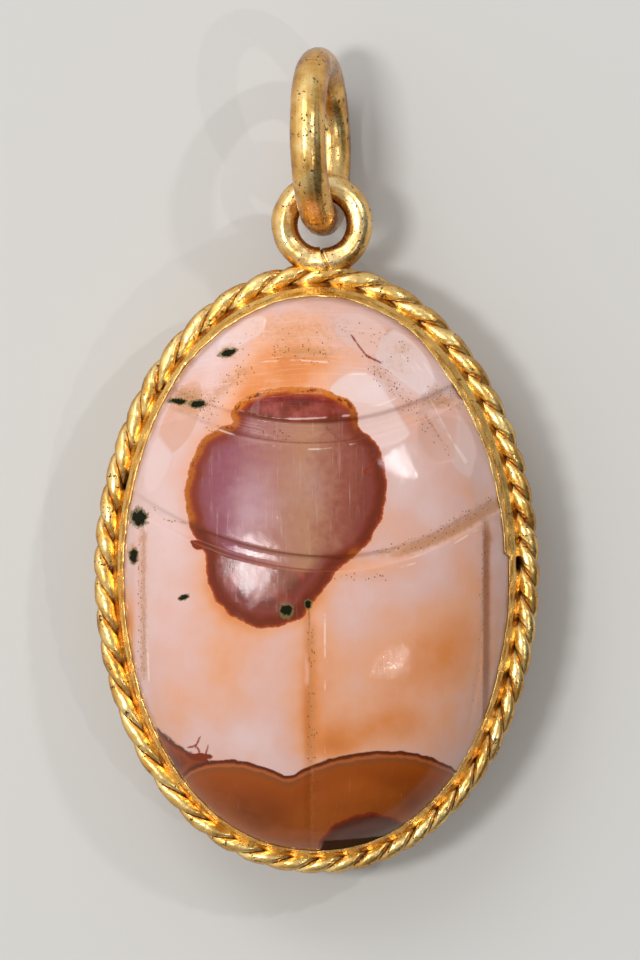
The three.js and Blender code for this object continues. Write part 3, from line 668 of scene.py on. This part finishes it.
def stoneFields(x, y, thorax, head, tone):
    # what each place of the back is made of: distances in mm, and shares from 0 to 1
    place = xyz(x, y, 0)
    wobble = 0.035 * softNoise(place, 0.9, 5) + 0.02 * softNoise(place, 0.4, 6)
    inclusion = curveDistance(x, y, smoothCurve(stone["inclusion"], True), True) + wobble
    # its rim glows orange along the head and the left, and is deep red on the right and below
    rimDeep = np.maximum(smoothStep(1.0, 1.9, x), smoothStep(1.6, 0.6, y + 0.2 * x))
    rimDeep = np.maximum(rimDeep * smoothStep(7.2, 6.4, y), 0.42 * smoothStep(6.7, 6.0, y))
    bead = 0.6 * np.exp(-((inclusion - 0.12) / 0.12) ** 2) * (1 - 0.5 * rimDeep)
    tail = lineHeight(x, stone["tail"]) - y + 0.6 * wobble
    (ovalX, ovalY), (ovalWide, ovalLong) = stone["tailOval"]["centre"], stone["tailOval"]["halfSize"]
    tailEye = (1 - np.hypot((x - ovalX) / ovalWide, (y - ovalY) / ovalLong)) * 2.0 + wobble
    pit = stone["tailPit"]
    pitEdge = pit["edge"] - y + pit["slant"] * (x - 1.0)
    tailPit = np.minimum.reduce([pitEdge, tailEye - 0.1, pit["right"] - x])
    wedge = np.minimum(lineHeight(x, stone["wedge"]) - y, 0.25 - tail) - 3 * smoothStep(-4.6, -2.8, x)
    # the ground is warmer round the inclusion, but not on its right
    warmth = blobs(x, y, stone["warm"]) - blobs(x, y, stone["milk"])
    warmth += 0.24 * np.exp(-(np.minimum(inclusion, 0) / 0.4) ** 2) * smoothStep(3.6, 0.0, x)
    # tan dirt lies in the right half of the thorax groove, in the straight grooves, and in stains
    tan = 1.05 * np.exp(-((thorax - 0.02) / 0.27) ** 2) * smoothStep(2.2, 4.0, x)
    for at, halfWidth, strength, starts, full, ends, wanes in stone["dirtStrips"]:
        strip = strength * np.exp(-((x - at) / halfWidth) ** 2)
        tan = np.maximum(tan, strip * smoothStep(starts, full, y) * smoothStep(ends, wanes, y))
    tan = np.maximum(tan, blobs(x, y, stone["earthStains"]))
    # a bowed coordinate for the head's scratches, ten to the millimetre
    combed = (y + 0.02 * x * x) * 10.0
    # stained brown: the strip outside the right wing case, less so by the collar; and painted shade, brown,
    # along the back's very edge beside the collar, except at the tail
    flank = smoothStep(6.8, 6.95, x) * (1 - 0.8 * smoothStep(7.0, 7.3, x)) * smoothStep(2.4, 1.4, y)
    rimGap = 1 - ovalReach(layout["rim"], x, y)
    flank = np.maximum(flank, 0.75 * smoothStep(0.035, 0.0, rimGap) * smoothStep(-7.5, -6.0, y))
    spot = np.full_like(x, -1.0)
    for cx, cy, hx, hy, turn in stone["spots"]:
        c, s = math.cos(math.radians(turn)), math.sin(math.radians(turn))
        u, v = (x - cx) * c + (y - cy) * s, -(x - cx) * s + (y - cy) * c
        spot = np.maximum(spot, 1.25 - 0.75 * np.hypot(u / hx, v / hy))
    # rust: a slanting square crumb at the inclusion's left, and a flat patch over the tail's left edge
    rust = 1 - (np.abs(x + 4.95 + 0.5 * (y - 1.1)) ** 3 + np.abs(y - 1.1) ** 3) ** (1 / 3) / 0.26
    rust = np.maximum(rust, 1 - np.hypot((x + 4.82) / 0.62, (y + 7.68) / 0.2))
    speckle = np.zeros_like(x)
    for startX, startY, endX, endY, halfWidth, density in stone["speckles"]:
        gap = np.abs(curveDistance(x, y, np.array([(startX, startY), (endX, endY)]), False))
        speckle = np.maximum(speckle, 1.3 * density * smoothStep(1.6, 0.6, gap / halfWidth))
        tan = np.maximum(tan, 1.2 * density * np.exp(-(gap / halfWidth / 1.1) ** 2))
    # dirt gathers along the edges of the grooves, most where they cross the inclusion
    thoraxEdge, headEdge = np.abs(thorax) - 0.29, np.abs(head) - 0.44
    grooveEdge = np.where(np.abs(thoraxEdge) < np.abs(headEdge), thoraxEdge, headEdge)
    grooveDirt = 0.1 + smoothStep(-0.2, 0.3, inclusion) * np.where(y > 4.0, 0.55, 0.9)
    lines = nearestLine(x, y, stone["dirtLines"])
    lineNearer = np.abs(lines) < np.abs(grooveEdge)
    grooveDirt = np.where(lineNearer, 0.6, grooveDirt)
    grooveEdge = np.where(lineNearer, lines, grooveEdge)
    # the inclusion's head end and its lower lobe are redder
    lowLobe = smoothStep(-0.25, -0.45, thorax) * (1 - 0.45 * smoothStep(0.7, 1.6, inclusion))
    headPart = np.maximum(smoothStep(0.3, 0.5, head), lowLobe)
    crack, paleLine = nearestLine(x, y, stone["cracks"]), nearestLine(x, y, stone["paleEdgesAndHighlights"])
    return dict(
        inclusion=inclusion, rimDeep=rimDeep, bead=bead, heart=inclusion - 0.3 * rimDeep, tail=tail,
        tailEye=tailEye, tailPit=tailPit, warmth=warmth, flank=flank, spot=spot, rust=rust, speckle=speckle,
        grooveEdge=grooveEdge, grooveDirt=grooveDirt, crack=crack, paleLine=paleLine,
        lineAway=np.minimum(np.abs(crack), np.abs(paleLine)), headPart=headPart, facetTone=tone, tan=tan,
        wedge=wedge, combed=combed,
        heartMilk=blobs(x, y, stone["heartMilk"]) * smoothStep(0.3, 0.9, inclusion))


def makeStone():
    # A square grid drawn out to an oval, x = u * sqrt(1 - v^2 / 2) and y = v * sqrt(1 - u^2 / 2), fills
    # the back with even cells. Rings of corners round its edge carry on down the side and in under the base.
    girdle = layout["girdle"]
    halfWidth, halfLength = girdle[:2]
    sides = (np.linspace(-1, 1, stone[key] + 1) for key in ("columns", "rows"))
    u, v = np.meshgrid(*sides, indexing="ij")
    u, v = u * np.sqrt(1 - v * v / 2), v * np.sqrt(1 - u * u / 2)
    stretch = stretchAt(girdle, np.arctan2(u, v))
    x, y = halfWidth * u * stretch, halfLength * v * stretch
    depth, thorax, head = carving(x, y)
    place = xyz(x, y, 0)
    inner = smoothStep(1.0, 0.97, ovalReach(girdle, x, y))    # the carving stops where the lip begins
    faceted, tone = facetedBack(x, y)
    ripple = 0.008 * softNoise(place, 2.4, 11) + 0.002 * softNoise(place, 0.5, 12)
    z = backHeight(x, y) * (1 - inner) + inner * (faceted - depth - ripple)
    grid = np.arange(x.size).reshape(x.shape)
    top = xyz(x, y, z).reshape(-1, 3)
    topFaces = np.stack([grid[:-1, :-1], grid[1:, :-1], grid[1:, 1:], grid[:-1, 1:]], axis=-1).reshape(-1, 4)
    edge = np.concatenate([grid[:-1, 0], grid[-1, :-1], grid[:0:-1, -1], grid[0, :0:-1]])
    angle = np.arctan2(top[edge, 0] / halfWidth, top[edge, 1] / halfLength)
    bevel, inset = layout["footBevel"], layout["footInset"]
    rings = [ovalPoint(girdle, angle, height, -shrink) for height, shrink in [
        (4.0, 0.0), (2.6, 0.0), (1.3, 0.0), (bevel + 0.05, 0.0), (bevel - 0.05, 0.04), (0.06, inset - 0.04),
        (0.0, inset + 0.03), (0.0, 2.5), (0.0, 5.5), (0.0, 7.9)]]
    order = np.concatenate([edge[None], x.size + np.arange(len(rings) * len(edge)).reshape(len(rings), -1)])
    following = np.roll(order, -1, axis=1)
    sideFaces = np.stack([order[:-1], order[1:], following[1:], following[:-1]], axis=-1).reshape(-1, 4)
    pole = x.size + len(rings) * len(edge)
    poleFaces = np.stack([order[-1], np.full(len(edge), pole), following[-1]], axis=-1)
    vertices = np.concatenate([top] + rings + [np.zeros((1, 3))])
    filler = np.full(len(vertices) - x.size, 9.0)    # the side is far from every groove
    fields = stoneFields(vertices[:, 0], vertices[:, 1], *(
        np.concatenate([values.reshape(-1), filler]) for values in (thorax, head, tone)))
    under = vertices[:, 2] < 3.0    # the carving and its dirt are on the back alone
    for clean, keys in ((-1, ("spot", "rust", "tailPit")), (9, ("crack", "paleLine")), (
            0, ("speckle", "grooveDirt", "flank", "facetTone", "tan", "combed", "bead"))):
        for key in keys:
            fields[key][under] = clean
    return vertices, [np.concatenate([topFaces, sideFaces]), poleFaces], fields


vertices, faceSets, fields = makeStone()
meshPiece("scarabStone", vertices, faceSets, bandedAgate("polishedBandedAgate", fields), fields,
          "scarab_stone")
print("stone made")


collar = {
    "around": 1500,
    "lip": {"width": 0.2, "from": 28, "full": 46, "to": 86},
    # where the solder did not run: degrees, half length in mm
    "holes": [(-72, 0.3), (-50, 0.16), (89, 0.2)],
    "thinRim": {"at": 317, "spread": 13, "by": 0.09},    # the rim was pressed over less here
    "ridgeShare": 0.35,    # of the way from the wall to the rim
    "ridgeHeight": 4.86,
    "chatter": 340,    # marks of the burnisher round the ridge
}


def collarSurface():
    # a closed section carried round the stone: foot, outer wall, solder fillet against the rope,
    # burnished ridge, the lip pressed over the stone, and back down inside
    angle = fullTurn(collar["around"])
    degrees = np.degrees(angle)
    outward = outwardOf(layout["rim"], angle)
    around = ovalPoint(layout["rim"], angle, 0.0)

    def wall(height, proud):
        return ovalPoint(layout["wall"], angle, height, proud)

    def raised(points, height):
        return xyz(points[:, 0], points[:, 1], height)

    # the lip reaches further over the stone in one wide stretch, which ends in a step
    lip = collar["lip"]
    lipWidth = lip["width"] * smoothStep(lip["from"], lip["full"], degrees)
    lipWidth = lipWidth * smoothStep(lip["to"] + 0.8, lip["to"], degrees)
    wave = 0.022 * softNoise(around, 2.6, 21) + 0.012 * softNoise(around, 0.7, 22)
    thin = collar["thinRim"]
    thinned = thin["by"] * np.exp(-((degrees - thin["at"]) / thin["spread"]) ** 2)
    rim = around + outward * (wave * (1 - 0.6 * tailward(angle)) - lipWidth + thinned)[:, None]
    rimHeight = backHeight(rim[:, 0], rim[:, 1])
    solid = np.ones_like(angle)
    for place, halfLength in collar["holes"]:
        away = np.abs((degrees - place + 180) % 360 - 180) * math.radians(1) * layout["girdle"][1] * 0.8
        solid = np.minimum(solid, smoothStep(halfLength - 0.08, halfLength + 0.06, away))
    fillet = 0.22 + 0.03 * softNoise(around, 1.1, 23) + 0.02 * softNoise(around, 0.45, 26)
    fillet = fillet * solid - 0.05 * (1 - solid)
    sag = 0.04 * softNoise(around, 0.9, 27)
    chatter = 0.010 * np.cos(collar["chatter"] * angle) * (0.6 + 0.6 * softNoise(around, 2.0, 28))
    toRim = collar["ridgeShare"]
    ridge = wall(0.0, 0.0) * (1 - toRim) + rim * toRim + outward * chatter[:, None]
    ridge[:, 2] = collar["ridgeHeight"] + sag * 0.4
    bevelInset = layout["footInset"] * (1 - 0.2 / layout["footBevel"])
    rows = [
        ovalPoint(layout["girdle"], angle, 0.2, 0.04 - bevelInset),
        ovalPoint(layout["girdle"], angle, 0.13, 0.09 - bevelInset),
        ovalPoint(layout["girdle"], angle, 0.14, 0.15 - bevelInset),
        wall(0.6, -0.02), wall(0.72, 0.0), wall(1.8, 0.0), wall(3.3, 0.0), wall(3.5, 0.2), wall(3.66, 0.26),
        wall(3.8, 0.22)]
    for height, share in [(3.95, 0.8), (4.08, 0.98), (4.2, 1.0), (4.3, 0.84), (4.38, 0.58), (4.46, 0.33),
                          (4.55, 0.14), (4.66, 0.04)]:
        rows.append(wall(height + sag * share, fillet * share))
    rows += [wall(4.78, -0.02), raised(ridge + outward * 0.012, ridge[:, 2] - 0.03), ridge,
             raised(ridge - outward * 0.02, ridge[:, 2] + 0.02)]
    top = raised(ridge - outward * 0.035, ridge[:, 2] + 0.05)
    lipEdge = raised(rim + outward * 0.02, rimHeight + 0.03)
    for share in (0.25, 0.5, 0.75):
        point = top * (1 - share) + lipEdge * share
        buckle = 0.022 * softNoise(point, 1.3, 25) * math.sin(math.pi * share)
        roomy = np.linalg.norm(top - lipEdge, axis=1) / 0.3
        swell = (buckle + 0.03 * math.sin(math.pi * share)) * np.clip(roomy, 0, 1)
        rows.append(point + outward * swell[:, None])
    rows += [lipEdge, raised(rim, rimHeight - 0.02)]
    # and down inside, close to the stone
    girdle = ovalPoint(layout["girdle"], angle, layout["girdleHeight"], 0.02)
    for share in (0.35, 0.7):
        bed = rim * (1 - share) + girdle * share
        rows.append(raised(bed + outward * 0.03, backHeight(bed[:, 0], bed[:, 1]) + 0.02))
    rows += [girdle, ovalPoint(layout["girdle"], angle, layout["footBevel"] + 0.05, 0.02)]
    points = np.stack(rows, axis=1)
    # earth gathers under the rope, at the ridge's foot and along the lip's edge; where solder is missing,
    # the gap is painted darkest, as earth and as painted shade
    hollow = np.zeros(points.shape[:2])
    hollow[:, 7:11] = 0.6
    hollow[:, 18:20] = 0.3
    hollow[:, 25:27] = 0.3
    hollow[:, 6:17] += (1 - solid)[:, None] * 0.9
    return points, hollow


goldPiece("bezelCollar", collarSurface(), collarGold, "bezel_collar")
print("collar made")


border = {
    "turns": 25,
    "along": 1500,
    "round": 60,
    "radius": 0.485,
    "tailThinning": 0.13,
    "creaseDepth": 0.46,
    "creaseWidth": 0.46,
    # the hand twist runs tighter and looser round the oval: (waves round, size in lobes, place in degrees)
    "uneven": [(0, -2.12, 0), (1, 0.89, -132), (2, 0.78, -79), (3, 0.17, -107), (4, 0.15, 87)],
}


def borderSurface():
    # two soft wires twisted tight and soldered: a round section with two opposite creases,
    # radius * (1 - depth * exp(-(|cos| / width)^1.4)), turned steadily as it goes round the oval
    angle = fullTurn(border["along"])
    lobes = sum(size * np.cos(k * angle - math.radians(place)) for k, size, place in border["uneven"])
    twist = -(border["turns"] * angle + math.pi * lobes)
    # the centre line of the strands is an oval a little wider at the tail
    axis = ovalPoint(layout["borderAxis"], angle, layout["borderHeight"])
    axis[..., 0] *= 1 - layout["tailFullness"] * np.cos(angle)
    outward = outwardOf(layout["borderAxis"], angle)
    up = np.array([0.0, 0.0, 1.0])
    turn = fullTurn(border["round"])
    turn = turn + 0.3 * np.sin(2 * turn)    # points gather near the two creases
    dip = np.exp(-(np.abs(np.cos(turn)) / border["creaseWidth"]) ** 1.4)
    reach = border["radius"] * (1 - border["creaseDepth"] * dip)
    # one fine tool line runs along each strand
    toolLine = np.zeros_like(turn)
    for crest in (0.62, 0.62 + np.pi):
        toolLine -= np.exp(-(((turn - crest + np.pi) % (2 * np.pi) - np.pi) / 0.10) ** 2)
    face = twist[:, None] + turn[None]
    reach = reach[None] + 0.016 * toolLine[None] * (0.4 + 0.6 * np.abs(np.sin(3.1 * angle))[:, None])
    direction = outward[:, None] * np.cos(face)[..., None] + up * np.sin(face)[..., None]
    reach = reach * (1 - border["tailThinning"] * tailward(angle))[:, None]
    points = axis[:, None] + direction * reach[..., None]
    lump = 0.012 * softNoise(points, 0.9, 31) + 0.004 * softNoise(points, 0.3, 32)
    points = points + direction * lump[..., None]
    crease = np.exp(-(np.abs(np.cos(turn)) / 0.16) ** 2)
    hollow = np.broadcast_to(crease, points.shape[:2]) * 0.7
    # painted shade: the strands' undersides, and the rope more towards its tail end, also get the dark earth
    hollow = hollow + 0.3 * smoothStep(0.0, -0.8, np.sin(face)) + 0.16 * tailward(angle)[:, None]
    return points, hollow


goldPiece("twistedWireBorder", borderSurface(), borderGold, "twisted_wire_border")
print("border made")


eye = {
    "centre": (0.22, 14.43, 4.0),
    "wireRadius": 0.55,
    "holeRadius": 1.0,
    "along": 480,
    "round": 96,
}


def eyeSurface():
    around, turn = loopAngles(eye)
    loop = eye["holeRadius"] + eye["wireRadius"]
    # how far along the wire from the foot, in mm, positive to the right
    fromFoot = ((around - 1.5 * np.pi + np.pi) % (2 * np.pi) - np.pi) * loop
    foot = np.exp(-(fromFoot / 0.75) ** 2)
    # the two ends meet at the foot along a slanting seam, the left one lapping the right
    seam = fromFoot - 0.12 - 0.35 * np.cos(turn) * 0.6
    radius = eye["wireRadius"] * (1 + 0.02 * np.cos(5 * turn + 0.4) + 0.02 * drawnMarks(around, turn, 43))
    radius = radius - 0.09 * np.exp(-(seam / 0.05) ** 2)
    radius = radius + 0.05 * smoothStep(0.0, -0.06, seam) * np.exp(-(seam / 0.5) ** 2)
    # solder spreads the foot against the border
    out = loop + radius * np.cos(turn)
    out = out + 0.12 * foot * smoothStep(0.2, 1.0, np.cos(turn))
    centreX, centreY, centreZ = eye["centre"]
    points = xyz(centreX + out * np.cos(around), centreY + out * np.sin(around),
                 centreZ + radius * np.sin(turn))
    centreLine = xyz(centreX + loop * np.cos(around), centreY + loop * np.sin(around), centreZ)
    normal = points - centreLine
    normal /= np.linalg.norm(normal, axis=-1, keepdims=True)
    lump = 0.014 * softNoise(points, 1.4, 41) + 0.003 * softNoise(points, 0.4, 42)
    hollow = 0.6 * np.exp(-(seam / 0.06) ** 2) + 0.25 * smoothStep(-0.5, -1.0, np.cos(turn))
    return points + normal * lump[..., None], hollow


goldPiece("suspensionEye", eyeSurface(), eyeGold, "suspension_eye")
print("eye made")


ring = {
    "centre": (0.15, 17.86, 4.0),
    "wireRadius": 0.75,
    "outerRadius": 3.95,
    "lean": 9.5,    # degrees off upright
    "yaw": 1.5,
    "along": 620,
    "round": 110,
}


def ringSurface():
    around, turn = loopAngles(ring)
    loop = ring["outerRadius"] - ring["wireRadius"]
    # the wire was hammered round from a bar, so it keeps faint lengthwise flats
    radius = ring["wireRadius"] * (0.982 + 0.022 * drawnMarks(around, turn, 53))
    out = loop + radius * np.cos(turn)
    flat = xyz(out * np.cos(around), out * np.sin(around), radius * np.sin(turn))
    lump = 0.012 * softNoise(flat, 2.2, 51) + 0.002 * softNoise(flat, 0.45, 52)
    normal = xyz(np.cos(turn) * np.cos(around), np.cos(turn) * np.sin(around), np.sin(turn))
    flat = flat + normal * lump[..., None]
    # made lying flat, then stood up, leant and turned
    tilt, yaw = math.radians(90 - ring["lean"]), math.radians(ring["yaw"])
    x = flat[..., 0] * math.cos(tilt) + flat[..., 2] * math.sin(tilt)
    z = -flat[..., 0] * math.sin(tilt) + flat[..., 2] * math.cos(tilt)
    y = flat[..., 1]
    placed = xyz(x * math.cos(yaw) - y * math.sin(yaw), x * math.sin(yaw) + y * math.cos(yaw), z)
    return placed + np.array(ring["centre"]), 0.2 + 0 * turn


goldPiece("jumpRing", ringSurface(), ringGold, "jump_ring")
print("jump ring made")


studio = {
    "floorSide": 900,
    "floorColour": "#cdcbc7",
    "lampDistance": 420,
    "lampAim": (0, 0, 6.0),
    "cameraHeight": 400,
    "frameHeight": 40.0,
    "aim": (0.133, 3.76, 4.0),
}


def paleCard():
    # matt pale card, which gives soft shadows and no shine
    material, add, _ = newMaterial("paleCard")
    shader = add("BsdfPrincipled", {"Base Color": linearColour(studio["floorColour"]), "Roughness": 0.9})
    add("OutputMaterial", {"Surface": shader})
    return material


half = studio["floorSide"] / 2
floorMesh = bpy.data.meshes.new("floor")
floorMesh.from_pydata([(x * half * mm, y * half * mm, 0) for x, y in ((-1, -1), (1, -1), (1, 1), (-1, 1))],
                      [], [(0, 1, 2, 3)])
floorMesh.materials.append(paleCard())
floor = newObject("floor", floorMesh)


def softbox(name, direction, size, watts):
    # an area light that looks at the amulet's back
    lamp = bpy.data.lights.new(name, "AREA")
    lamp.shape = "RECTANGLE"
    lamp.size, lamp.size_y = size[0] * mm, size[1] * mm
    lamp.energy = watts
    unit = np.array(direction, float)
    unit /= np.linalg.norm(unit)
    holder = newObject(name, lamp)
    holder.location = (np.array(studio["lampAim"]) + unit * studio["lampDistance"]) * mm
    holder.rotation_euler = Vector(unit).to_track_quat("Z", "Y").to_euler()


# two broad lamps give the long soft highlights, and two small ones the sharp ones
softbox("keyLight", (-0.37, 0.01, 0.93), (50, 80), 0.64)
softbox("topLeftLight", (-0.36, 0.60, 0.71), (150, 150), 0.31)
softbox("sideLight", (0.528, 0.354, 0.772), (10, 22), 0.20)
softbox("lowLight", (0.452, -0.273, 0.849), (5, 6), 0.11)

# the air gives soft light from all round, brightest at the upper left
world = bpy.data.worlds.new("studioAir")
world.use_nodes = True
air = world.node_tree
sky = addNode(air, "TexCoord")
side = addNode(air, "VectorMath", sky.outputs["Generated"], (-0.68, 0.52, 0.05), operation="DOT_PRODUCT")
glow = addNode(air, "MapRange", side.outputs["Value"], -0.8, 0.8, 0.02, 0.95)
air.links.new(glow.outputs[0], air.nodes["Background"].inputs["Strength"])
air.nodes["Background"].inputs["Color"].default_value = (1, 1, 1, 1)
bpy.context.scene.world = world

camera = bpy.data.cameras.new("camera")
camera.lens = 36 * studio["cameraHeight"] / studio["frameHeight"]
camera.clip_end = 10
cameraHolder = newObject("camera", camera)
cameraHolder.location = (np.array(studio["aim"]) + (0, 0, studio["cameraHeight"])) * mm
bpy.context.scene.camera = cameraHolder
bpy.context.scene.view_settings.view_transform = "Standard"
print("stage made")
